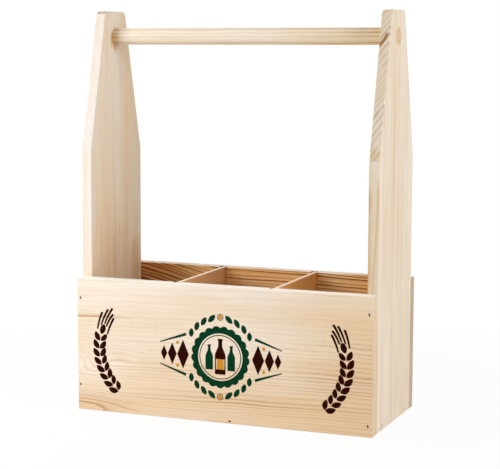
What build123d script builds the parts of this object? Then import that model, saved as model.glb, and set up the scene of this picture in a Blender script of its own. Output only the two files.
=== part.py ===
from build123d import *
import os

# A wooden bottle caddy with three compartments and a dowel handle, in millimetres.
# Z points up, the front faces -Y, and the origin lies on the ground under the middle.

# Overall sizes
caddy_length = 300.0
eased_edge_radius = 1.0
cut_overrun = 2.0

# Front and back boards, which lap the edges of the end boards
side_board_height = 130.0
side_board_thickness = 12.0

# End boards: straight up to the knee, then tapering to a rounded top
end_board_width = 110.0
end_board_height = 386.0
end_board_thickness = 10.0
taper_height = 136.0
end_board_top_width = 42.0
top_corner_radius = 5.0

# Floor board
floor_thickness = 10.0

# Handle dowel, glued into a through hole in each end board
dowel_diameter = 16.0
dowel_axis_below_top = 24.0
dowel_hole_gap = 0.05
dowel_chamfer = 0.4

# Thin cross dividers, which stand loose in wider grooves, close to each groove's right wall
divider_names = ("left_divider", "right_divider")
divider_thickness = 4.0
divider_edge_radius = 0.4
divider_side_gap = 0.3
divider_end_gap = 1.0
groove_width = 6.8
groove_depth = 5.0
# The middle of each groove, as a share of the inner length
groove_place_shares = (-0.1715, 0.179)

# Brads, whose heads are driven a little below the surface
brad_length = 25.0
brad_head_length = 2.6
brad_head_width = 1.5
brad_head_thickness = 0.8
brad_shank_length = 1.3
brad_shank_width = 1.0
brad_sink_depth = 0.5

# Each corner brad of the front and back boards: its side, its distance from that side's end as a
# share of the end board's thickness, its height as a share of the board's height, and its tilt
corner_brad_shares = (
    (-1, 0.34, 0.848, 8.0),
    (-1, 0.29, 0.190, 4.0),
    (1, 0.42, 0.870, 10.0),
    (1, 0.44, 0.080, 14.0),
)
# The brad at the foot of these boards: shares of the inner length and of the floor's thickness
foot_brad_shares = (0.036, 0.24)
# Each brad of an end board: its place as shares of that board's width and of the floor's thickness
end_brad_shares = ((-0.325, 0.45), (0.345, 0.44))

# Places that follow from the sizes
half_length = caddy_length / 2
inner_length = caddy_length - 2 * end_board_thickness
inner_depth = end_board_width
half_depth = inner_depth / 2 + side_board_thickness
side_board_y = inner_depth / 2 + side_board_thickness / 2
end_board_x = half_length - end_board_thickness / 2
knee_height = end_board_height - taper_height
dowel_axis_height = end_board_height - dowel_axis_below_top
divider_height = side_board_height - floor_thickness
divider_depth = inner_depth + 2 * (groove_depth - divider_end_gap)
groove_places = [share * inner_length for share in groove_place_shares]
divider_shift = (groove_width - divider_thickness) / 2 - divider_side_gap

on_its_base = (Align.CENTER, Align.CENTER, Align.MIN)
hanging_down = (Align.CENTER, Align.CENTER, Align.MAX)


def eased_board(length, depth, height):
    """A planed board that stands on Z zero, with all its edges eased."""
    board = Box(length, depth, height, align=on_its_base)
    return fillet(board.edges(), eased_edge_radius)


def brad():
    """One brad along -Z, with the board's face at Z zero and its head's long side along X."""
    head_top = Pos(0, 0, -brad_sink_depth)
    head = head_top * Box(brad_head_length, brad_head_width, brad_head_thickness, align=hanging_down)
    shank = head_top * Box(brad_shank_length, brad_shank_width, brad_length, align=hanging_down)
    return head + shank


def brad_pocket():
    """The hole that the head leaves behind as it goes below the board's face."""
    depth = brad_sink_depth + cut_overrun
    return Pos(0, 0, cut_overrun) * Box(brad_head_length, brad_head_width, depth, align=hanging_down)


def front_brad_places():
    """Where the brads of the front board are, each with its Z out of the board."""
    places = []
    for side, inset_share, height_share, tilt in corner_brad_shares:
        x = side * (half_length - inset_share * end_board_thickness)
        upright = Plane((x, -half_depth, height_share * side_board_height), (0, 0, 1), (0, -1, 0))
        places.append(upright.location * Rot(0, 0, tilt))
    x_share, z_share = foot_brad_shares
    foot = (x_share * inner_length, -half_depth, z_share * floor_thickness)
    places.append(Plane(foot, (1, 0, 0), (0, -1, 0)).location)
    return places


def right_end_brad_places():
    """Where the brads of the right end board are, each with its Z out of the board."""
    places = []
    for y_share, z_share in end_brad_shares:
        point = (half_length, y_share * end_board_width, z_share * floor_thickness)
        places.append(Plane(point, (0, 1, 0), (1, 0, 0)).location)
    return places


def brads_and_pockets(places, turn):
    """The brads at these places, turned about Z, and the pockets over their heads."""
    brads = [turn * place * brad() for place in places]
    pockets = [turn * place * brad_pocket() for place in places]
    return brads, pockets


def cut_by(board, tools):
    """The board with every tool taken out of it."""
    for tool in tools:
        board -= tool
    return board


def groove_tools():
    """The grooves' space, which reaches into the front board and the back board."""
    depth = inner_depth + 2 * groove_depth
    groove = Box(groove_width, depth, divider_height + cut_overrun, align=on_its_base)
    return [Pos(x, 0, floor_thickness) * groove for x in groove_places]


def side_board(side, brads, pockets):
    """The front board (side -1) or the back board (side 1), grooved on its inner face."""
    blank = eased_board(caddy_length, side_board_thickness, side_board_height)
    return cut_by(Pos(0, side * side_board_y, 0) * blank, groove_tools() + brads + pockets)


def end_board_outline():
    """The end board's outline in the YZ plane."""
    half_width = end_board_width / 2
    half_top = end_board_top_width / 2
    outline = Polygon(
        (-half_width, 0),
        (half_width, 0),
        (half_width, knee_height),
        (half_top, end_board_height),
        (-half_top, end_board_height),
        (-half_width, knee_height),
        align=None,
    )
    top_corners = outline.vertices().sort_by(Axis.Y)[-2:]
    return Plane.YZ * fillet(top_corners, top_corner_radius)


def dowel_cylinder(radius, length):
    """A cylinder along X on the handle's axis."""
    return Pos(0, 0, dowel_axis_height) * Rot(0, 90, 0) * Cylinder(radius, length)


def end_board(side, brads, pockets):
    """The left end board (side -1) or the right one (side 1), with its dowel hole."""
    board = extrude(end_board_outline(), end_board_thickness / 2, both=True)
    board = Pos(side * end_board_x, 0, 0) * fillet(board.edges(), eased_edge_radius)
    board -= dowel_cylinder(dowel_diameter / 2 + dowel_hole_gap, caddy_length + cut_overrun)
    return cut_by(board, brads + pockets)


def floor_board(brads):
    """The floor board, which fills the space between the four walls."""
    return cut_by(eased_board(inner_length, inner_depth, floor_thickness), brads)


def handle_dowel():
    """The dowel, whose ends lie flush with the end boards' outer faces."""
    dowel = dowel_cylinder(dowel_diameter / 2, caddy_length)
    return chamfer(dowel.edges().filter_by(GeomType.CIRCLE), dowel_chamfer)


def divider(groove_x):
    """A thin cross divider that stands on the floor in its groove, its top flush with the rim."""
    blank = Box(divider_thickness, divider_depth, divider_height, align=on_its_base)
    return Pos(groove_x + divider_shift, 0, floor_thickness) * fillet(blank.edges(), divider_edge_radius)


def caddy():
    """Every node of the caddy by its name."""
    as_drawn = Rot(0, 0, 0)
    half_turn = Rot(0, 0, 180)
    front_brads, front_pockets = brads_and_pockets(front_brad_places(), as_drawn)
    back_brads, back_pockets = brads_and_pockets(front_brad_places(), half_turn)
    right_brads, right_pockets = brads_and_pockets(right_end_brad_places(), as_drawn)
    left_brads, left_pockets = brads_and_pockets(right_end_brad_places(), half_turn)
    side_brads = front_brads + back_brads
    nodes = {
        "front_board": side_board(-1, front_brads, front_pockets),
        "back_board": side_board(1, back_brads, back_pockets),
        "left_end_board": end_board(-1, side_brads + left_brads, left_pockets),
        "right_end_board": end_board(1, side_brads + right_brads, right_pockets),
        "floor_board": floor_board(side_brads + left_brads + right_brads),
        "handle_dowel": handle_dowel(),
        "front_brads": Compound(front_brads),
        "back_brads": Compound(back_brads),
        "left_end_brads": Compound(left_brads),
        "right_end_brads": Compound(right_brads),
    }
    for name, groove_x in zip(divider_names, groove_places):
        nodes[name] = divider(groove_x)
    return nodes


os.makedirs("parts", exist_ok=True)
for name, shape in caddy().items():
    export_step(shape, f"parts/{name}.step")
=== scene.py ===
import math
from typing import NamedTuple

import bmesh
import bpy
from mathutils import Euler, Matrix, Vector


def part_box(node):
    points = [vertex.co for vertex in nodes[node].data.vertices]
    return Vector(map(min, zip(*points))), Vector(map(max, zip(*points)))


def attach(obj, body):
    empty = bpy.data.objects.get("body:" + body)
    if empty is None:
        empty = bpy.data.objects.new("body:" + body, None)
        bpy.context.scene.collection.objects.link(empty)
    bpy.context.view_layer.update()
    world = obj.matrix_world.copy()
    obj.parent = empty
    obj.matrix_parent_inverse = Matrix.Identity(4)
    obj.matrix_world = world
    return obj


# A bottle caddy of planed pine, with a print on its front board.
# Blender's lengths are in metres. Names that end in _mm, wood patterns and the points of drawn
# outlines are in millimetres.

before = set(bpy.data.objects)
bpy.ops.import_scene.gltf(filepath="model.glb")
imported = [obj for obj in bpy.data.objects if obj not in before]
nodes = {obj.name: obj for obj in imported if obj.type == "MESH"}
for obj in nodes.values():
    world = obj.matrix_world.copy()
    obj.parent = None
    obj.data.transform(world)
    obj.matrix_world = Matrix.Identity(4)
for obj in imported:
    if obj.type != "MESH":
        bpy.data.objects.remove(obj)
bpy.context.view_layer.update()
MM = 0.001
DEGREE = math.radians(1)


def linear(srgb_hex):
    """The linear colour of an sRGB hex value."""
    channels = [int(srgb_hex[index:index + 2], 16) / 255 for index in (1, 3, 5)]
    return [c / 12.92 if c <= 0.04045 else ((c + 0.055) / 1.055) ** 2.4 for c in channels] + [1.0]


def add_node(tree, kind, sockets=None, **settings):
    """Adds a node with its settings; each socket takes a value or another node's output."""
    node = tree.nodes.new(kind)
    for name, value in settings.items():
        setattr(node, name, value)
    for socket, value in (sockets or {}).items():
        if isinstance(value, bpy.types.NodeSocket):
            tree.links.new(value, node.inputs[socket])
        else:
            node.inputs[socket].default_value = value
    return node


def new_material(name):
    """An empty node material."""
    material = bpy.data.materials.new(name)
    material.use_nodes = True
    material.node_tree.nodes.clear()
    return material


def add_object(name, data):
    """An object in the scene, at the origin."""
    made = bpy.data.objects.new(name, data)
    bpy.context.scene.collection.objects.link(made)
    return made


# Wood

# How a board turns to lay its trunk along X, for a grain that runs along each axis
ALONG_X = (0.0, 0.0, 0.0)
ALONG_Y = (0.0, 0.0, 90 * DEGREE)
ALONG_Z = (0.0, 90 * DEGREE, 0.0)

# Soft patterns that run up the trunk: how long and how wide each is, in mm, and its noise settings
TRUNK_PATTERNS = {
    "sway": (230, 90, {"Detail": 2.0, "Roughness": 0.4}),
    "ripple": (55, 9, {"Detail": 1.0}),
    "patches": (120, 22, {"Detail": 2.0}),
    "tones": (170, 26, {"Detail": 2.0}),
    # Real fibres are about 0.03 mm wide and don't show at this size, so they are drawn wider
    "fibres": (60, 0.9, {"Detail": 3.0, "Roughness": 0.6}),
    "resin_canals": (7, 0.5, {"Detail": 1.0}),
}
# How many rings the ripple moves a line by
RIPPLE_RINGS = 0.7
# Where in a year's growth, from 0 to 1, the wood gets darker, and how dark
YEAR_SHADES = ((0.48, 0.08), (0.74, 0.42), (0.88, 1.0), (0.95, 0.80))
# How much of a stain shows in the pale wood between the lines
STAIN_BETWEEN_LINES = 0.15


class Mark(NamedTuple):
    """A knot, streak or patch in the wood, or a patch of painted shade, round a place in the board."""

    place_mm: tuple
    reach_mm: float
    # How many times longer it is along the trunk
    stretch: float = 1.0
    # How far it pushes the rings out from the pith
    lift_mm: float = 0.0
    # How much it darkens the rings, and how much straw colour it adds
    darkening: float = 0.0
    gilding: float = 0.0


def ring_lines(tree, radius, patches, stain, ring_mm, unevenness, figure, fade_mm):
    """How dark the wood is, from 0 to 1: each year's ring ends in a sharper, darker line."""
    # Good and bad years, in runs of about 12 mm of wood, give wide and narrow rings
    years = add_node(tree, "ShaderNodeTexNoise", {
        "W": radius, "Scale": 0.08, "Detail": 1.0,
    }, noise_dimensions="1D").outputs["Fac"]
    even_rings = add_node(tree, "ShaderNodeMath", {
        0: radius, 1: 1 / ring_mm,
    }, operation="MULTIPLY").outputs[0]
    ring_count = add_node(tree, "ShaderNodeMath", {
        0: years, 1: unevenness, 2: even_rings,
    }, operation="MULTIPLY_ADD").outputs[0]
    season = add_node(tree, "ShaderNodeMath", {0: ring_count}, operation="FRACT").outputs[0]
    late = add_node(tree, "ShaderNodeValToRGB", {"Fac": season})
    ramp = late.color_ramp.elements
    for end in ramp:
        end.color = (0, 0, 0, 1)
    for position, shade in YEAR_SHADES:
        ramp.new(position).color = (shade, shade, shade, 1)
    year = add_node(tree, "ShaderNodeMath", {0: ring_count}, operation="FLOOR").outputs[0]
    luck = add_node(tree, "ShaderNodeTexWhiteNoise", {"W": year}, noise_dimensions="1D").outputs["Value"]
    vigour = add_node(tree, "ShaderNodeMapRange", {"Value": luck, "To Min": 0.45, "To Max": 1.0}).outputs[0]

    # The lines are fainter before the fade radius, in soft patches, and in a run of dry years
    fade_start, fade_end, fade_share = fade_mm
    faded = add_node(tree, "ShaderNodeMapRange", {
        "Value": radius, "From Min": fade_start, "From Max": fade_end,
        "To Min": fade_share * figure, "To Max": figure,
    }, interpolation_type="SMOOTHSTEP").outputs[0]
    patchy = add_node(tree, "ShaderNodeMapRange", {
        "Value": patches, "From Min": 0.3, "From Max": 0.65, "To Min": 0.35, "To Max": 1.25,
    }).outputs[0]
    dry_years = add_node(tree, "ShaderNodeMapRange", {
        "Value": years, "From Min": 0.35, "From Max": 0.65, "To Min": 1.45, "To Max": 0.5,
    }).outputs[0]
    boldness = add_node(tree, "ShaderNodeMath", {0: faded, 1: patchy}, operation="MULTIPLY").outputs[0]
    boldness = add_node(tree, "ShaderNodeMath", {
        0: boldness, 1: dry_years, 2: stain,
    }, operation="MULTIPLY_ADD").outputs[0]

    line = late.outputs["Color"]
    for factor in (vigour, boldness):
        line = add_node(tree, "ShaderNodeMath", {0: line, 1: factor}, operation="MULTIPLY").outputs[0]
    return add_node(tree, "ShaderNodeMath", {
        0: stain, 1: STAIN_BETWEEN_LINES, 2: line,
    }, operation="MULTIPLY_ADD", use_clamp=True).outputs[0]


def planed_pine(
    name,
    grain,
    tilt,
    pith_mm,
    ring_mm,
    sway_mm=10.0,
    unevenness=1.3,
    figure=0.6,
    fade_mm=(0.0, 1.0, 1.0),
    ripen_mm=None,
    cream="#F3E5D2",
    straw="#ECD6B6",
    latewood="#C9935C",
    end_grain="#E2CBAA",
    marks=(),
):
    """Planed pine as a solid pattern: each board is cut from its own log, so its end grain meets its faces.

    The eye gets pale cream earlywood, thin straw to brown latewood lines that run with the board
    and wander a little, faint silky fibres, and short darker resin canals.
    grain says how the board turns to lay its trunk along X, tilt how the log then leans, and
    pith_mm where its pith passes the board, in the board's own place. The rings are ring_mm apart,
    wander by sway_mm, and are moved by unevenness, in rings, in good and bad years. figure is how
    strongly they show, and fade_mm gives the two radii between which they come up to that and the
    share that they start with. ripen_mm gives the two radii between which cream wood turns to
    straw. marks are the knots, streaks and patches.
    """
    material = new_material(name)
    tree = material.node_tree
    turn = Euler(grain).to_matrix()
    log_turn = Euler(tilt).to_matrix() @ turn
    log_offset = -(log_turn @ Vector(pith_mm))

    place = add_node(tree, "ShaderNodeTexCoord").outputs
    # The log's own place in millimetres: X runs up the trunk and the pith is the X axis
    log = add_node(tree, "ShaderNodeMapping", {
        "Vector": place["Object"],
        "Scale": (1 / MM, 1 / MM, 1 / MM),
        "Rotation": log_turn.to_euler(),
        "Location": log_offset,
    }).outputs[0]
    patterns = {}
    for pattern, (length_mm, width_mm, noise) in TRUNK_PATTERNS.items():
        squeezed = add_node(tree, "ShaderNodeVectorMath", {
            0: log, 1: (1 / length_mm, 1 / width_mm, 1 / width_mm),
        }, operation="MULTIPLY").outputs[0]
        patterns[pattern] = add_node(tree, "ShaderNodeTexNoise", {
            "Vector": squeezed, "Scale": 1.0, **noise,
        }).outputs

    # The distance from the pith, bent by the sway
    centred = add_node(tree, "ShaderNodeVectorMath", {
        0: patterns["sway"]["Color"], 1: (0.5, 0.5, 0.5),
    }, operation="SUBTRACT").outputs[0]
    swayed = add_node(tree, "ShaderNodeVectorMath", {
        0: centred, 1: (0, sway_mm, sway_mm), 2: log,
    }, operation="MULTIPLY_ADD").outputs[0]
    across = add_node(tree, "ShaderNodeVectorMath", {
        0: swayed, 1: (0, 1, 1),
    }, operation="MULTIPLY").outputs[0]
    radius = add_node(tree, "ShaderNodeVectorMath", {0: across}, operation="LENGTH").outputs["Value"]

    # Each mark swells from its edge to its middle, and bends, darkens and gilds the wood there
    stain = 0.0
    gold = 0.0
    for mark in marks:
        squeeze = Vector((1 / mark.stretch, 1, 1))
        squeezed = add_node(tree, "ShaderNodeVectorMath", {
            0: log, 1: squeeze,
        }, operation="MULTIPLY").outputs[0]
        away = add_node(tree, "ShaderNodeVectorMath", {
            0: squeezed, 1: (log_turn @ Vector(mark.place_mm) + log_offset) * squeeze,
        }, operation="DISTANCE").outputs["Value"]
        swell = add_node(tree, "ShaderNodeMapRange", {
            "Value": away, "From Min": 0.0, "From Max": mark.reach_mm, "To Min": 1.0, "To Max": 0.0,
        }, interpolation_type="SMOOTHERSTEP").outputs[0]
        radius, stain, gold = (
            add_node(tree, "ShaderNodeMath", {
                0: swell, 1: amount, 2: so_far,
            }, operation="MULTIPLY_ADD").outputs[0]
            for amount, so_far in ((mark.lift_mm, radius), (mark.darkening, stain), (mark.gilding, gold))
        )
    radius = add_node(tree, "ShaderNodeMath", {
        0: patterns["ripple"]["Fac"], 1: RIPPLE_RINGS * ring_mm, 2: radius,
    }, operation="MULTIPLY_ADD").outputs[0]
    line = ring_lines(tree, radius, patterns["patches"]["Fac"], stain, ring_mm, unevenness, figure, fade_mm)

    # Cream wood turns to straw in soft tones, and where it is ripe or gilded
    tone = add_node(tree, "ShaderNodeMapRange", {
        "Value": patterns["tones"]["Fac"], "From Min": 0.35, "From Max": 0.65,
    }).outputs[0]
    if ripen_mm:
        ripe_from, ripe_to = ripen_mm
        ripe = add_node(tree, "ShaderNodeMapRange", {
            "Value": radius, "From Min": ripe_from, "From Max": ripe_to, "To Min": -0.2, "To Max": 0.8,
        }).outputs[0]
        tone = add_node(tree, "ShaderNodeMath", {
            0: tone, 1: 0.4, 2: ripe,
        }, operation="MULTIPLY_ADD").outputs[0]
    tone = add_node(tree, "ShaderNodeMath", {0: tone, 1: gold}, operation="ADD", use_clamp=True).outputs[0]
    canal = add_node(tree, "ShaderNodeMapRange", {
        "Value": patterns["resin_canals"]["Fac"], "From Min": 0.68, "From Max": 0.76, "To Max": 0.4,
    }).outputs[0]
    # End grain drinks the light: it has its own duller colour, and its rings are plainer
    facing = add_node(tree, "ShaderNodeVectorMath", {
        0: place["Normal"], 1: turn.inverted() @ Vector((1, 0, 0)),
    }, operation="DOT_PRODUCT").outputs["Value"]
    facing = add_node(tree, "ShaderNodeMath", {0: facing}, operation="ABSOLUTE").outputs[0]
    dullness = add_node(tree, "ShaderNodeMapRange", {
        "Value": facing, "From Min": 0.6, "From Max": 0.9, "To Max": 0.65,
    }).outputs[0]
    colour = linear(cream)
    for share, other in ((tone, straw), (line, latewood), (canal, latewood), (dullness, end_grain)):
        colour = add_node(tree, "ShaderNodeMix", {
            0: share, 6: colour, 7: linear(other),
        }, data_type="RGBA").outputs[2]
    fibres = patterns["fibres"]["Fac"]
    silk = add_node(tree, "ShaderNodeMapRange", {
        "Value": fibres, "From Min": 0.3, "From Max": 0.7, "To Min": 0.93, "To Max": 1.03,
    }).outputs[0]
    silky = add_node(tree, "ShaderNodeVectorMath", {0: colour, "Scale": silk}, operation="SCALE").outputs[0]

    # Latewood is harder, so sanding leaves it a little proud and smoother
    roughness = add_node(tree, "ShaderNodeMapRange", {
        "Value": line, "To Min": 0.62, "To Max": 0.48,
    }).outputs[0]
    relief = add_node(tree, "ShaderNodeMath", {
        0: line, 1: 0.5, 2: fibres,
    }, operation="MULTIPLY_ADD").outputs[0]
    bump = add_node(tree, "ShaderNodeBump", {"Height": relief, "Strength": 0.35, "Distance": 0.08 * MM})
    wood = add_node(tree, "ShaderNodeBsdfPrincipled", {
        "Base Color": silky, "Roughness": roughness, "IOR": 1.53, "Specular IOR Level": 0.3,
        "Normal": bump.outputs[0],
    })
    add_node(tree, "ShaderNodeOutputMaterial", {"Surface": wood.outputs[0]})
    return material


def dress(node, material):
    """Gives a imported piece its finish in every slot."""
    slots = nodes[node].data.materials
    if not slots:
        slots.append(material)
    for index in range(len(slots)):
        slots[index] = material


def dress_faces(node, material, picked):
    """Gives a finish of their own to the faces that picked() chooses by their middle, in mm, and normal."""
    mesh = nodes[node].data
    mesh.materials.append(material)
    own_slot = len(mesh.materials) - 1
    for face_painted_shade in mesh.polygons:
        if picked(face_painted_shade.center / MM, face_painted_shade.normal):
            face_painted_shade.material_index = own_slot


def rim(middle, normal):
    """The top of a side board, with its eased edges."""
    return middle.z > 120 and normal.z > 0.6


def groove(middle, normal):
    """The walls and bottom of a groove that holds a divider."""
    return 55.5 < abs(middle.y) < 60.5 and abs(middle.x) < 100 and abs(normal.z) < 0.5


def front_edge(middle, normal):
    """The narrow front edge of an end board, from its foot to its top."""
    return normal.y < -0.7


def front_taper(middle, normal):
    """The slanting upper part of that edge."""
    return normal.y < -0.7 and normal.z > 0.1


def top_cut(middle, normal):
    """The cut across the top of an end board."""
    return middle.z > 380 and normal.z > 0.5


# The front board's rings run with it: plain and pale above, golden below, bent round a knot at the left
front_log = {
    "grain": ALONG_X, "tilt": (0, 0.6 * DEGREE, -0.5 * DEGREE), "pith_mm": (-400, 30, 165), "ring_mm": 2.9,
    "sway_mm": 6, "figure": 0.5, "fade_mm": (95, 185, 0.5), "ripen_mm": (75, 205), "latewood": "#C28A4C",
    "marks": (
        Mark((-152, -67, 56), 24, stretch=1.6, lift_mm=12),
        Mark((-106, -67, 60), 15, stretch=1.6, lift_mm=3, darkening=0.3),
        Mark((-150, -67, 94), 5, stretch=16, darkening=1.0),
        Mark((-160, -67, 8), 16, stretch=7, lift_mm=9, darkening=1.3),
        Mark((130, -67, 83), 5, stretch=16, darkening=0.6),
        Mark((130, -67, 52), 28, stretch=3, darkening=0.65),
        Mark((10, -67, 24), 14, stretch=9, darkening=0.5),
        Mark((-130, -67, 44), 45, stretch=2, gilding=-0.5),
        Mark((150, -67, 93), 90, stretch=1.6, gilding=0.5),
        Mark((160, -67, 5), 65, stretch=2, darkening=0.3, gilding=0.3),
    ),
}
dress("front_board", planed_pine("planed_pine_front", **front_log, cream="#F8EDDF", straw="#EED1AA"))

# The back board is pale at its edges; the faces of both boards that look into the box get a darker, more
# orange copy of the wood: painted shade for the light that bounces inside it
back_log = {
    "grain": ALONG_X, "tilt": (0, -1.5 * DEGREE, 1 * DEGREE), "pith_mm": (260, 90, -30), "ring_mm": 3.0,
    "sway_mm": 8, "unevenness": 2.4,
    "marks": (
        Mark((-165, 55, 135), 80, stretch=1.7, lift_mm=-16),
        # Darker towards the left: painted shade from the left end board
        Mark((-155, 55, 115), 75, stretch=1.3, darkening=2.4, gilding=0.7),
        Mark((150, 55, 100), 70, stretch=1.3, darkening=0.35, gilding=1.2),
    ),
}
front_inner_shade_log = {
    "grain": ALONG_X, "tilt": (0, 1.2 * DEGREE, 0.6 * DEGREE), "pith_mm": (300, -95, -40), "ring_mm": 3.6,
    "sway_mm": 8,
}
# Painted shade: a darker, more orange copy of the wood with bolder lines
inner_painted_shade = {"figure": 2.1, "cream": "#FFDDA6", "straw": "#FFC77A", "latewood": "#8A420E"}
dress("back_board", planed_pine(
    "planed_pine_back", **back_log, cream="#F3DFC6", straw="#E9CDA8", end_grain="#B49E88",
))
# The inner faces of the back and front boards take that painted shade
dress_faces(
    "back_board",
    planed_pine("planed_pine_back_inner_painted_shade", **back_log, **inner_painted_shade),
    lambda middle, normal: normal.y < -0.9,
)
dress_faces(
    "front_board",
    planed_pine("planed_pine_front_inner_painted_shade", **front_inner_shade_log, **inner_painted_shade),
    lambda middle, normal: normal.y > 0.9,
)

# The rims get a paler copy of the wood, a painted highlight along the top edges, so they read as a light
# line
dress_faces(
    "front_board",
    planed_pine("planed_pine_rim_front_painted_highlight", **front_log, cream="#FFF9F0", straw="#FBEEDD"),
    rim,
)
dress_faces(
    "back_board",
    planed_pine("planed_pine_rim_back_painted_highlight", **back_log, cream="#FDECDC", straw="#F6E0C8"),
    rim,
)
# The walls of the grooves get a dark copy of the wood: painted shade deep in the slots
painted_shade_pine = planed_pine(
    "painted_shade_pine_groove", ALONG_X, (0, 0, 0), (0, 400, 60), 3.0,
    cream="#6E4C30", straw="#5C3E26", latewood="#3E2817", end_grain="#4A301C",
)
dress_faces("front_board", painted_shade_pine, groove)
dress_faces("back_board", painted_shade_pine, groove)

# The end boards stand upright: soft lines on their faces, and slanting ones where the taper cuts them
left_log = {
    "grain": ALONG_Z, "tilt": (0, 0.4 * DEGREE, 0.3 * DEGREE), "pith_mm": (-196, 190, 900), "sway_mm": 3,
}
dress("left_end_board", planed_pine(
    "planed_pine_left", **left_log, ring_mm=5.2, figure=0.36,
    cream="#F3E7D7", straw="#F1D8B5", latewood="#CC8A4A", end_grain="#D9C0A0",
    marks=(
        # A dark ring round the dowel's hole: painted shade
        Mark((-140, -2, 359), 13, stretch=1.2, darkening=5.0),
        Mark((-140, 12, 165), 13, stretch=2.2, lift_mm=3, darkening=0.2),
        # Warmer and a little darker low on the inner face, near the box: painted bounced light and shade
        Mark((-140, 0, 120), 90, stretch=1.6, darkening=0.1, gilding=0.5),
        Mark((-140, -6, 138), 6, stretch=6, darkening=0.8, gilding=1.0),
        Mark((-140, -6.6, 160), 2.5, stretch=4, darkening=1.6),
        # Darker and warmer in the back corner above the box: painted shade
        Mark((-140, 40, 136), 20, stretch=1.8, darkening=0.9, gilding=1.0),
    ),
))
dress_faces(
    "left_end_board",
    planed_pine(
        "planed_pine_left_edge", **left_log, ring_mm=2.2, figure=0.22,
        cream="#F3E8DF", straw="#F1E0CA", latewood="#D2A87C", end_grain="#D9C0A0",
    ),
    front_edge,
)
# A taper cuts its fibres at a slant, which leaves it a little greyer
dress_faces(
    "left_end_board",
    planed_pine(
        "planed_pine_left_taper", **left_log, ring_mm=1.6, figure=0.14,
        cream="#ECE4DC", straw="#E8DAC8", latewood="#C4A080", end_grain="#D9C0A0",
    ),
    front_taper,
)
# Its top has open end grain, which shows as a dull brown line
dress_faces(
    "left_end_board",
    planed_pine(
        "sawn_pine_left_top", **left_log, ring_mm=1.6, figure=0.5,
        cream="#CEBBA8", straw="#C0A890", latewood="#8F6B4C", end_grain="#A8917C",
    ),
    top_cut,
)

right_log = {
    "grain": ALONG_Z, "tilt": (0, -0.4 * DEGREE, 0.2 * DEGREE), "sway_mm": 2, "figure": 0.85,
    "end_grain": "#D9C0A0",
}
right_upright = {"pith_mm": (183, -210, -700), "ring_mm": 3.9, "latewood": "#C8924F"}
right_marks = (
    Mark((140, -55, 170), 6, stretch=14, darkening=1.4),
    Mark((144, -57, 190), 13, stretch=7, darkening=0.15, gilding=0.8),
)
right_edge_knots = (
    Mark((140.5, -55, 214), 4.5, stretch=4, darkening=1.3, gilding=1.0),
    Mark((140.5, -55, 146), 5, stretch=5, darkening=1.2, gilding=1.2),
)
knee_knot = Mark((143, -54, 256), 13, lift_mm=0.5, darkening=0.35, gilding=0.9)
# A streak of resin runs down across the taper: its places, how far each reaches, and how dark it is
resin_streak = tuple(
    Mark(place_mm, reach_mm, stretch=1.2, darkening=darkening, gilding=0.5)
    for place_mm, reach_mm, darkening in (
        ((146.6, -26.6, 363.9), 1.8, 6.0),
        ((145.8, -27.1, 361.7), 2.3, 6.5),
        ((144.6, -27.7, 359.3), 2.4, 6.5),
        ((143.0, -28.3, 357.0), 2.4, 6.5),
        ((141.2, -28.8, 355.2), 2.4, 6.5),
    )
)
dress("right_end_board", planed_pine(
    "planed_pine_right", **right_log, **right_upright, cream="#F6EADA", straw="#EFE0C6", marks=right_marks,
))
dress_faces(
    "right_end_board",
    planed_pine(
        "planed_pine_right_edge", **right_log, **right_upright, cream="#EFE2CF", straw="#E7D6B9",
        marks=right_marks + right_edge_knots,
    ),
    front_edge,
)
dress_faces(
    "right_end_board",
    planed_pine(
        "planed_pine_right_taper", **right_log, pith_mm=(207, -235, -700), ring_mm=1.75, unevenness=2.0,
        fade_mm=(196, 214, 0.5), cream="#E7D9C5", straw="#E1CAA6", latewood="#9C6B3A",
        marks=(knee_knot, *resin_streak),
    ),
    front_taper,
)

dress("floor_board", planed_pine(
    "planed_pine_floor", ALONG_X, (0, 0.8 * DEGREE, 1.4 * DEGREE), (700, 20, 75), 3.4,
    sway_mm=14, straw="#E6C598",
))
dress("handle_dowel", planed_pine(
    "turned_pine_dowel", ALONG_X, (0, 0.25 * DEGREE, 0), (0, -22, 455), 4.2,
    sway_mm=1.5, figure=0.75, cream="#F2E7D8", straw="#EEDEC4", latewood="#CFA24F", end_grain="#D6B586",
    marks=(
        Mark((137, -5, 366), 7, stretch=2.5, darkening=1.3),
        Mark((160, -5, 362), 24, stretch=7, darkening=1.0, gilding=0.3),
        Mark((110, -8, 358), 50, stretch=2, gilding=0.5),
        # A dark band where the dowel goes into the left end board: painted shade
        Mark((-139, -5, 361), 11, darkening=3.6, gilding=0.5),
    ),
))
# The dividers are plain: a pale edge all round, and on their faces a darker, warmer copy of the wood,
# painted shade for the light bounced between the boards
for name, pith_x, shaded_face_cream, shaded_face_straw in (
    ("left_divider", -120, "#E0AF7E", "#D79E66"),
    ("right_divider", -30, "#F0BA78", "#E8A75C"),
):
    divider_log = {
        "grain": ALONG_Y, "tilt": (0, 0, 0), "pith_mm": (pith_x, 400, 190), "ring_mm": 2.7, "figure": 0.25,
    }
    dress(name, planed_pine(f"plain_{name}_edge", **divider_log, cream="#FFEDD6", straw="#FBDDBA"))
    dress_faces(
        name,
        planed_pine(
            f"plain_{name}_face", **divider_log, cream=shaded_face_cream, straw=shaded_face_straw, latewood="#AC6E36",
        ),
        lambda middle, normal: abs(normal.x) > 0.9,
    )


# Brads

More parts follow.
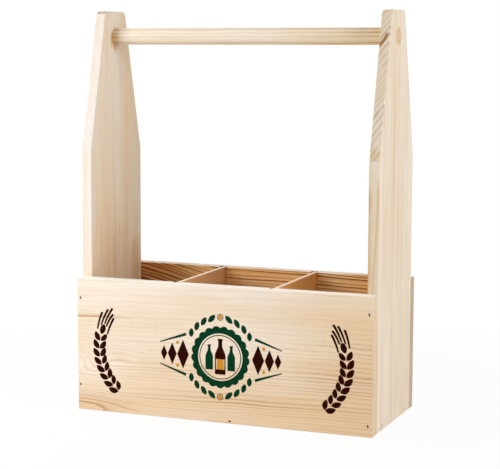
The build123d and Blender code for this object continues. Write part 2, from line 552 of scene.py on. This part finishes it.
def driven_brad_steel():
    """Bright steel gone dull, dark brown-grey with fine scuffs, and darker still as painted shade for the
    pocket round its head, so a brad reads as a small dark mark.
    """
    material = new_material("dull_brad_steel_and_painted_pocket_shade")
    tree = material.node_tree
    place = add_node(tree, "ShaderNodeTexCoord").outputs["Object"]
    scuff_mm = 0.3
    scuffs = add_node(tree, "ShaderNodeTexNoise", {
        "Vector": place, "Scale": 1 / (scuff_mm * MM), "Detail": 3.0,
    }).outputs["Fac"]
    colour = add_node(tree, "ShaderNodeMix", {
        0: scuffs, 6: linear("#1C1511"), 7: linear("#3A3028"),
    }, data_type="RGBA").outputs[2]
    roughness = add_node(tree, "ShaderNodeMapRange", {
        "Value": scuffs, "To Min": 0.4, "To Max": 0.65,
    }).outputs[0]
    steel = add_node(tree, "ShaderNodeBsdfPrincipled", {
        "Base Color": colour, "Metallic": 1.0, "Roughness": roughness,
    })
    add_node(tree, "ShaderNodeOutputMaterial", {"Surface": steel.outputs[0]})
    return material


brad_steel = driven_brad_steel()
for name in ("front_brads", "back_brads", "left_end_brads", "right_end_brads"):
    dress(name, brad_steel)


# Print on the front board

FRONT_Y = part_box("front_board")[0].y
INK_PROUD = 0.03 * MM
INK_DEPTH = 0.12 * MM


def printed_ink(name, full, worn):
    """Ink printed straight on wood: matt and even, but the grain breaks it into faint lighter streaks."""
    material = new_material(name)
    tree = material.node_tree
    place = add_node(tree, "ShaderNodeTexCoord").outputs["Object"]
    # The streaks lie along the board
    streak_length_mm, streak_height_mm = 14, 0.6
    across = 1 / (streak_height_mm * MM)
    streaks = add_node(tree, "ShaderNodeMapping", {
        "Vector": place, "Scale": (1 / (streak_length_mm * MM), across, across),
    }).outputs[0]
    grain = add_node(tree, "ShaderNodeTexNoise", {
        "Vector": streaks, "Scale": 1.0, "Detail": 3.0,
    }).outputs["Fac"]
    thin = add_node(tree, "ShaderNodeMapRange", {
        "Value": grain, "From Min": 0.4, "From Max": 0.8, "To Max": 0.6,
    }).outputs[0]
    colour = add_node(tree, "ShaderNodeMix", {
        0: thin, 6: linear(full), 7: linear(worn),
    }, data_type="RGBA").outputs[2]
    bump = add_node(tree, "ShaderNodeBump", {"Height": grain, "Strength": 0.3, "Distance": 0.04 * MM})
    ink = add_node(tree, "ShaderNodeBsdfPrincipled", {
        "Base Color": colour, "Roughness": 0.75, "IOR": 1.48, "Specular IOR Level": 0.03,
        "Normal": bump.outputs[0],
    })
    add_node(tree, "ShaderNodeOutputMaterial", {"Surface": ink.outputs[0]})
    return material


brown_ink = printed_ink("printed_ink_brown", "#260501", "#441609")
green_ink = printed_ink("printed_ink_green", "#02351E", "#184C33")
amber_ink = printed_ink("printed_ink_amber", "#CF8E22", "#DDAA4E")


def draw_lines(name, lines_mm, closed):
    """A flat curve object with a line through each list of points, given in X and Z on the front board."""
    drawing = bpy.data.curves.new(name, "CURVE")
    drawing.dimensions = "2D"
    for line_mm in lines_mm:
        spline = drawing.splines.new("POLY")
        spline.points.add(len(line_mm) - 1)
        for point, (x, z) in zip(spline.points, line_mm):
            point.co = (x * MM, z * MM, 0, 1)
        spline.use_cyclic_u = closed
    return add_object(name, drawing)


def lay_on_front(name, mesh):
    """Makes a flat mesh a piece that stands up against the front board, its ink just proud of the wood."""
    mesh.name = name
    upright = Matrix.Rotation(math.radians(90), 4, "X")
    mesh.transform(Matrix.Translation((0, FRONT_Y - INK_PROUD + INK_DEPTH / 2, 0)) @ upright)
    shell = bmesh.new()
    shell.from_mesh(mesh)
    bmesh.ops.remove_doubles(shell, verts=shell.verts, dist=0.001 * MM)
    bmesh.ops.recalc_face_normals(shell, faces=shell.faces)
    shell.to_mesh(mesh)
    shell.free()
    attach(add_object(name, mesh), "frame")


def print_flat(name, outlines_mm, ink):
    """Prints closed outlines; one inside another is a hole."""
    drawn = draw_lines(name, outlines_mm, closed=True)
    drawn.data.fill_mode = "BOTH"
    drawn.data.extrude = INK_DEPTH / 2
    mesh = bpy.data.meshes.new_from_object(drawn)
    bpy.data.objects.remove(drawn)
    mesh.materials.append(ink)
    lay_on_front(name, mesh)


def even_turns(count):
    """The angles of that many points round a circle."""
    return [2 * math.pi * index / count for index in range(count)]


def disc(centre, radius, count):
    """The points of a circle."""
    x, z = centre
    return [(x + radius * math.cos(turn), z + radius * math.sin(turn)) for turn in even_turns(count)]


def leaf(centre, length, width, lean):
    """A pointed leaf, whose long side leans that many degrees from upright."""
    x, z = centre
    lean = math.radians(lean)
    outline = []
    for turn in even_turns(24):
        side = width / 2 * math.cos(turn) * abs(math.cos(turn)) ** 0.5
        up = length / 2 * math.sin(turn)
        outline.append((
            x + side * math.cos(lean) + up * math.sin(lean),
            z - side * math.sin(lean) + up * math.cos(lean),
        ))
    return outline


def lozenge(centre, half_width, half_height):
    """A diamond on its point."""
    x, z = centre
    return [(x + half_width, z), (x, z + half_height), (x - half_width, z), (x, z - half_height)]


def tapered_stroke(start, end, start_width, end_width):
    """A straight stroke that gets thinner or thicker."""
    start, end = Vector(start), Vector(end)
    sideways = (end - start).orthogonal().normalized() / 2
    return [
        tuple(start - sideways * start_width), tuple(end - sideways * end_width),
        tuple(end + sideways * end_width), tuple(start + sideways * start_width),
    ]


# Ears of barley: a spine from foot to tip, kernels in pairs, and awns above

LEFT_SPINE_MM = (
    (-109.0, 24.6), (-113.9, 29.6), (-118.4, 36.0), (-121.8, 43.2),
    (-124.6, 50.6), (-125.9, 58.1), (-126.0, 65.9), (-124.8, 73.5),
)
LEFT_TIP_MM = (-122.5, 81.0)
LEFT_AWNS_MM = (
    ((-128.2, 81.0), (-122.9, 97.8)), ((-124.2, 84.8), (-116.5, 100.9)), ((-120.4, 86.3), (-111.9, 101.9)),
    ((-118.7, 83.8), (-111.3, 96.2)), ((-117.6, 76.5), (-110.6, 92.4)),
)
RIGHT_EAR_SHIFT_MM = -1.8
RIGHT_EAR_LEAN = 0.016
AWN_BOW_MM = 0.6
TIP_KERNEL_LENGTH_MM, TIP_KERNEL_WIDTH_MM, TIP_KERNEL_LEAN = 10.4, 6.0, 20
# The inputs of the tree that makes the kernels: each with its kind of socket and its value
EAR_INPUTS = {
    "Pairs": ("NodeSocketInt", 8),
    "Kernel Length": ("NodeSocketFloat", 9.8 * MM),
    "Kernel Width": ("NodeSocketFloat", 5.3 * MM),
    "Kernel Belly": ("NodeSocketFloat", 0.5 * MM),
    "Row Offset": ("NodeSocketFloat", 3.4 * MM),
    "Spread": ("NodeSocketFloat", 35 * DEGREE),
    "Ink Depth": ("NodeSocketFloat", INK_DEPTH),
    "Ink": ("NodeSocketMaterial", brown_ink),
}
KERNEL_SEED = 7


def ear_point(side, point_mm):
    """A point of the left ear (side -1), or its like on the right ear, which leans out a little more."""
    x, z = point_mm
    if side < 0:
        return x, z
    return RIGHT_EAR_SHIFT_MM + RIGHT_EAR_LEAN * z - x, z


def ear_tree():
    """Kernels in pairs up a spine."""
    tree = bpy.data.node_groups.new("barley_ear", "GeometryNodeTree")
    tree.interface.new_socket("Geometry", in_out="INPUT", socket_type="NodeSocketGeometry")
    tree.interface.new_socket("Geometry", in_out="OUTPUT", socket_type="NodeSocketGeometry")
    for name, (kind, _) in EAR_INPUTS.items():
        tree.interface.new_socket(name, in_out="INPUT", socket_type=kind)
    given = add_node(tree, "NodeGroupInput").outputs

    # A kernel starts as a flat disc, which is drawn out to a point at both ends, fuller at its foot
    blank = add_node(tree, "GeometryNodeMeshCylinder", {
        "Vertices": 28, "Radius": 1.0, "Depth": given["Ink Depth"],
    }).outputs["Mesh"]
    position = add_node(tree, "GeometryNodeInputPosition").outputs[0]
    at = add_node(tree, "ShaderNodeSeparateXYZ", {0: position}).outputs
    side = add_node(tree, "ShaderNodeMath", {0: at["X"]}, operation="ABSOLUTE").outputs[0]
    side = add_node(tree, "ShaderNodeMath", {0: side, 1: 0.6}, operation="POWER").outputs[0]
    fullness = add_node(tree, "ShaderNodeMath", {
        0: at["Y"], 1: -0.05, 2: 0.5,
    }, operation="MULTIPLY_ADD").outputs[0]
    for factor in (at["X"], fullness, given["Kernel Width"]):
        side = add_node(tree, "ShaderNodeMath", {0: side, 1: factor}, operation="MULTIPLY").outputs[0]
    up = at["Y"]
    for factor in (0.5, given["Kernel Length"]):
        up = add_node(tree, "ShaderNodeMath", {0: up, 1: factor}, operation="MULTIPLY").outputs[0]
    # Its belly bows out sideways, most at the middle
    from_middle = add_node(tree, "ShaderNodeMath", {
        0: at["Y"], 1: at["Y"],
    }, operation="MULTIPLY").outputs[0]
    belly = add_node(tree, "ShaderNodeMath", {0: 1.0, 1: from_middle}, operation="SUBTRACT").outputs[0]
    belly = add_node(tree, "ShaderNodeMath", {
        0: belly, 1: given["Kernel Belly"],
    }, operation="MULTIPLY").outputs[0]

    spine = add_node(tree, "GeometryNodeResampleCurve", {
        "Curve": given["Geometry"], "Count": given["Pairs"],
    }).outputs[0]
    points = add_node(tree, "GeometryNodeCurveToPoints", {"Curve": spine}, mode="EVALUATED")
    tangent = points.outputs["Tangent"]
    upright = add_node(tree, "FunctionNodeAlignRotationToVector", {
        "Vector": tangent,
    }, axis="Y", pivot_axis="Z").outputs[0]
    sideways = add_node(tree, "ShaderNodeVectorMath", {
        0: tangent, 1: (0, 0, 1),
    }, operation="CROSS_PRODUCT").outputs[0]
    joined = add_node(tree, "GeometryNodeJoinGeometry")

    for row_side in (-1, 1):
        bellied = add_node(tree, "ShaderNodeMath", {
            0: belly, 1: row_side, 2: side,
        }, operation="MULTIPLY_ADD").outputs[0]
        shaped = add_node(tree, "ShaderNodeCombineXYZ", {"X": bellied, "Y": up, "Z": at["Z"]}).outputs[0]
        kernel = add_node(tree, "GeometryNodeSetPosition", {
            "Geometry": blank, "Position": shaped,
        }).outputs[0]
        shift = add_node(tree, "ShaderNodeMath", {
            0: given["Row Offset"], 1: row_side,
        }, operation="MULTIPLY").outputs[0]
        offset = add_node(tree, "ShaderNodeVectorMath", {
            0: sideways, "Scale": shift,
        }, operation="SCALE").outputs[0]
        row = add_node(tree, "GeometryNodeSetPosition", {
            "Geometry": points.outputs[0], "Offset": offset,
        }).outputs[0]
        angle = add_node(tree, "ShaderNodeMath", {
            0: given["Spread"], 1: -row_side,
        }, operation="MULTIPLY").outputs[0]
        lean = add_node(tree, "FunctionNodeAxisAngleToRotation", {
            "Axis": (0, 0, 1), "Angle": angle,
        }).outputs[0]
        turned = add_node(tree, "FunctionNodeRotateRotation", {
            "Rotation": upright, "Rotate By": lean,
        }, rotation_space="LOCAL").outputs[0]
        # Kernels differ in size by a few percent, and the row on the board's outer side has the larger ones
        luck = add_node(tree, "FunctionNodeRandomValue", {
            2: 0.95, 3: 1.04, "Seed": KERNEL_SEED + row_side,
        }, data_type="FLOAT").outputs[1]
        outward = add_node(tree, "ShaderNodeMath", {0: at["X"]}, operation="SIGN").outputs[0]
        size = add_node(tree, "ShaderNodeMath", {
            0: outward, 1: 0.04 * row_side, 2: 1.03,
        }, operation="MULTIPLY_ADD").outputs[0]
        size = add_node(tree, "ShaderNodeMath", {0: size, 1: luck}, operation="MULTIPLY").outputs[0]
        kernels = add_node(tree, "GeometryNodeInstanceOnPoints", {
            "Points": row, "Instance": kernel, "Rotation": turned, "Scale": size,
        }).outputs[0]
        tree.links.new(kernels, joined.inputs[0])

    solid = add_node(tree, "GeometryNodeRealizeInstances", {"Geometry": joined.outputs[0]}).outputs[0]
    inked = add_node(tree, "GeometryNodeSetMaterial", {
        "Geometry": solid, "Material": given["Ink"],
    }).outputs[0]
    add_node(tree, "NodeGroupOutput", {0: inked})
    return tree


def print_kernels(name):
    """Prints the kernels of both ears."""
    spines_mm = [[ear_point(side, point_mm) for point_mm in LEFT_SPINE_MM] for side in (-1, 1)]
    drawn = draw_lines(name, spines_mm, closed=False)
    tree = ear_tree()
    modifier = drawn.modifiers.new("kernels", "NODES")
    modifier.node_group = tree
    for socket in tree.interface.items_tree:
        if socket.name in EAR_INPUTS:
            modifier[socket.identifier] = EAR_INPUTS[socket.name][1]
    bpy.context.view_layer.update()
    evaluated = drawn.evaluated_get(bpy.context.evaluated_depsgraph_get())
    mesh = bpy.data.meshes.new_from_object(evaluated)
    drawn.modifiers.remove(modifier)
    bpy.data.objects.remove(drawn)
    lay_on_front(name, mesh)


def awn(foot, tip, bow):
    """A bristle that bows a little to one side and gets thicker towards its tip."""
    foot, tip = Vector(foot), Vector(tip)
    sideways = (tip - foot).orthogonal().normalized()
    foot_half_width, thickening = 0.85, 0.35
    shares = (0, 0.2, 0.4, 0.6, 0.8, 1)
    outline = []
    for edge, run in ((1, shares), (-1, reversed(shares))):
        for share in run:
            half_width = edge * (foot_half_width + thickening * share)
            bowed_by = 4 * bow * share * (1 - share)
            outline.append(tuple(foot.lerp(tip, share) + sideways * (bowed_by + half_width)))
    return outline


print_kernels("print_barley_kernels")
ear_marks = []
for side in (-1, 1):
    for foot, tip in LEFT_AWNS_MM:
        ear_marks.append(awn(ear_point(side, foot), ear_point(side, tip), -side * AWN_BOW_MM))
    tip_kernel = ear_point(side, LEFT_TIP_MM)
    ear_marks.append(leaf(tip_kernel, TIP_KERNEL_LENGTH_MM, TIP_KERNEL_WIDTH_MM, -side * TIP_KERNEL_LEAN))
print_flat("print_barley_awns", ear_marks, brown_ink)


# Emblem: a scalloped cap with bottles on it, rows of lozenges beside it, and sprigs above and below

EMBLEM_X, EMBLEM_Z = 0.5, 63.0
CAP_VALLEY_RADIUS = 27.8
CAP_RING_RADII = (22.6, 21.2, 20.3)
SCALLOPS = 21
SCALLOP_DEPTH = 1.9
POINTS_PER_SCALLOP = 12
# A plain long-necked bottle: half its width at each height, both as shares of its whole height
BOTTLE_PROFILE = (
    (0.145, 0.0), (0.16, 0.015), (0.16, 0.52), (0.15, 0.58), (0.115, 0.66), (0.075, 0.74), (0.06, 0.80),
    (0.055, 0.93), (0.072, 0.935), (0.072, 0.985), (0.06, 1.0),
)
TALL_BOTTLE_FOOT, TALL_BOTTLE_HEIGHT = -16.5, 34
SHORT_BOTTLE_FOOT, SHORT_BOTTLE_HEIGHT, SHORT_BOTTLE_REACH = -12.5, 24, 11.2
# The label's foot and top, and half its width with and without border, as shares of its bottle's height
LABEL_FOOT, LABEL_TOP = 0.14, 0.43
BORDER_HALF_WIDTH, LABEL_HALF_WIDTH = 0.125, 0.105
# The lozenges at each side: how far out each is, half its width and half its height
LOZENGES = ((38.2, 6.0, 14.0), (49.4, 4.6, 10.6), (57.9, 3.3, 7.2))
RULE_ENDS = ((35, 19.5), (62, 10.5))
RULE_WIDTHS = (2.8, 1.0)
DOT_REACH, DOT_RISE, DOT_RADIUS = 43.8, 11.0, 1.6
SPRIG_STEPS = (-4, -3, -2, -1, 1, 2, 3, 4)
SPRIG_STEP_DEGREES = 13.5
SPRIG_REACH, REACH_LOST_PER_STEP = 37.5, 0.25
LEAF_LENGTH, LENGTH_LOST_PER_STEP = 10.4, 0.5
LEAF_SPREAD_DEGREES = 58
LEAF_WIDTH = 5.0
BERRY_REACH, BERRY_RADIUS = 38.0, 2.1
BERRY_RING_RADII = (3.2, 2.5)


def on_emblem(right, up):
    """A point of the emblem, counted from its centre."""
    return EMBLEM_X + right, EMBLEM_Z + up


def around(radius, degrees):
    """A point round the emblem's centre, with its angle from the top, clockwise."""
    turn = math.radians(degrees)
    return on_emblem(radius * math.sin(turn), radius * math.cos(turn))


def scalloped_edge():
    """The outline of the cap."""
    count = SCALLOPS * POINTS_PER_SCALLOP
    outline = []
    for index in range(count):
        bulge = SCALLOP_DEPTH * abs(math.sin(math.pi * index / POINTS_PER_SCALLOP))
        outline.append(around(CAP_VALLEY_RADIUS + bulge, 360 * index / count))
    return outline


def bottle(foot, height):
    """The outline of a bottle."""
    x, z = foot
    right = [(x + width * height, z + up * height) for width, up in BOTTLE_PROFILE]
    left = [(x - width * height, z + up * height) for width, up in reversed(BOTTLE_PROFILE)]
    return right + left


def bottle_label(foot, height, half_width_share):
    """The outline of a bottle's blank label."""
    x, z = foot
    half_width = half_width_share * height
    low, high = z + LABEL_FOOT * height, z + LABEL_TOP * height
    return [(x - half_width, low), (x + half_width, low), (x + half_width, high), (x - half_width, high)]


green_marks = [scalloped_edge()] + [disc(on_emblem(0, 0), radius, 72) for radius in CAP_RING_RADII]
# Two short bottles stand beside a tall one, whose label has a border
for side in (-1, 1):
    green_marks.append(bottle(on_emblem(side * SHORT_BOTTLE_REACH, SHORT_BOTTLE_FOOT), SHORT_BOTTLE_HEIGHT))
tall_foot = on_emblem(0, TALL_BOTTLE_FOOT)
brown_marks = [
    bottle(tall_foot, TALL_BOTTLE_HEIGHT),
    bottle_label(tall_foot, TALL_BOTTLE_HEIGHT, BORDER_HALF_WIDTH),
]
amber_marks = [bottle_label(tall_foot, TALL_BOTTLE_HEIGHT, LABEL_HALF_WIDTH)]
for side in (-1, 1):
    for reach, half_width, half_height in LOZENGES:
        brown_marks.append(lozenge(on_emblem(side * reach, 0), half_width, half_height))
    # A rule runs above and below each row of lozenges, with a dot inside it
    for up in (-1, 1):
        start, end = (on_emblem(side * reach, up * rise) for reach, rise in RULE_ENDS)
        green_marks.append(tapered_stroke(start, end, *RULE_WIDTHS))
        amber_marks.append(disc(on_emblem(side * DOT_REACH, up * DOT_RISE), DOT_RADIUS, 20))
# A sprig lies along the cap's top and another along its foot: leaves to both sides of a ringed berry
for middle in (0, 180):
    for step in SPRIG_STEPS:
        direction = middle + SPRIG_STEP_DEGREES * step
        lean = direction - math.copysign(LEAF_SPREAD_DEGREES, step)
        # Towards the sprig's ends its leaves get shorter and come nearer to the cap
        centre = around(SPRIG_REACH - REACH_LOST_PER_STEP * abs(step), direction)
        length = LEAF_LENGTH - LENGTH_LOST_PER_STEP * abs(step)
        green_marks.append(leaf(centre, length, LEAF_WIDTH, lean))
    berry = around(BERRY_REACH, middle)
    amber_marks.append(disc(berry, BERRY_RADIUS, 24))
    brown_marks += [disc(berry, radius, 32) for radius in BERRY_RING_RADII]
print_flat("print_emblem_green", green_marks, green_ink)
print_flat("print_emblem_brown", brown_marks, brown_ink)
print_flat("print_emblem_amber", amber_marks, amber_ink)


# Floor, light and camera

def seen_white(tree):
    """One for camera, glossy and transmission rays, and zero for the light that falls on the object."""
    ray = add_node(tree, "ShaderNodeLightPath").outputs
    seen = ray["Is Camera Ray"]
    for kind in ("Is Glossy Ray", "Is Transmission Ray"):
        seen = add_node(tree, "ShaderNodeMath", {0: seen, 1: ray[kind]}, operation="MAXIMUM").outputs[0]
    return seen


def studio_sheet():
    """A white studio sheet: bright as the backdrop, with a trace of the object's shadow close to it."""
    material = new_material("white_studio_sheet")
    tree = material.node_tree
    matt = add_node(tree, "ShaderNodeBsdfDiffuse", {"Color": linear("#F4F4F4")}).outputs[0]
    glow = add_node(tree, "ShaderNodeEmission", {"Color": (1, 1, 1, 1), "Strength": 1.0}).outputs[0]
    place = add_node(tree, "ShaderNodeTexCoord").outputs["Object"]
    away = add_node(tree, "ShaderNodeVectorMath", {0: place}, operation="LENGTH").outputs["Value"]
    glow_share = add_node(tree, "ShaderNodeMapRange", {
        "Value": away, "From Min": 0.2, "From Max": 0.6, "To Min": 0.92, "To Max": 1.0,
    }, interpolation_type="SMOOTHSTEP").outputs[0]
    share = add_node(tree, "ShaderNodeMath", {
        0: seen_white(tree), 1: glow_share,
    }, operation="MULTIPLY").outputs[0]
    both = add_node(tree, "ShaderNodeMixShader", {0: share, 1: matt, 2: glow}).outputs[0]
    add_node(tree, "ShaderNodeOutputMaterial", {"Surface": both})
    return material


FLOOR_REACH = 8.0
corners = [(x * FLOOR_REACH, y * FLOOR_REACH, 0) for x, y in ((-1, -1), (1, -1), (1, 1), (-1, 1))]
sheet = bpy.data.meshes.new("studio_floor")
sheet.from_pydata(corners, [], [(0, 1, 2, 3)])
sheet.materials.append(studio_sheet())
add_object("studio_floor", sheet)

AMBIENT_STRENGTH = 0.36
world = bpy.data.worlds.new("studio")
world.use_nodes = True
world.node_tree.nodes.clear()
bpy.context.scene.world = world
strength = add_node(world.node_tree, "ShaderNodeMapRange", {
    "Value": seen_white(world.node_tree), "To Min": AMBIENT_STRENGTH, "To Max": 1.0,
}).outputs[0]
sky = add_node(world.node_tree, "ShaderNodeBackground", {"Color": (1, 1, 1, 1), "Strength": strength})
add_node(world.node_tree, "ShaderNodeOutputWorld", {"Surface": sky.outputs[0]})

# Square soft lights: each one's place, the point that it is aimed at, its width and its power in watts
SOFTBOXES = {
    "key_softbox": ((-0.5, -0.55, 0.42), (-0.1, 0, 0.15), 0.35, 2.75),
    "fill_softbox": ((1.3, -0.42, 0.65), (0, 0, 0.15), 0.8, 9.2),
    "top_softbox": ((-0.5, 0.0, 1.0), (-0.1, 0, 0.2), 0.5, 2.6),
    "back_softbox": ((-0.6, 1.3, 0.25), (0, 0, 0.15), 0.9, 4.0),
}
for name, (place, aim, width, power) in SOFTBOXES.items():
    light = bpy.data.lights.new(name, "AREA")
    light.size = width
    light.energy = power
    lamp = add_object(name, light)
    lamp.location = place
    lamp.rotation_euler = (Vector(aim) - Vector(place)).to_track_quat("-Z", "Y").to_euler()
    lamp.visible_camera = False

# The camera was fitted to the board edges in the photograph
PHOTO_WIDTH_PIXELS = 500
FOCAL_PIXELS = 1513.0
SENSOR_MM = 36.0
CAMERA_PLACE = (0.54210, -1.35224, 0.34979)
CAMERA_YAW, CAMERA_PITCH, CAMERA_ROLL = 0.37901, -0.12182, 0.00296
camera_data = bpy.data.cameras.new("camera")
camera_data.sensor_width = SENSOR_MM
camera_data.lens = FOCAL_PIXELS * SENSOR_MM / PHOTO_WIDTH_PIXELS
camera = add_object("camera", camera_data)
camera.matrix_world = (
    Matrix.Translation(CAMERA_PLACE)
    @ Matrix.Rotation(CAMERA_YAW, 4, "Z")
    @ Matrix.Rotation(math.pi / 2 + CAMERA_PITCH, 4, "X")
    @ Matrix.Rotation(CAMERA_ROLL, 4, "Z")
)
bpy.context.scene.camera = camera
bpy.context.scene.view_settings.view_transform = "Standard"

bpy.context.view_layer.update()
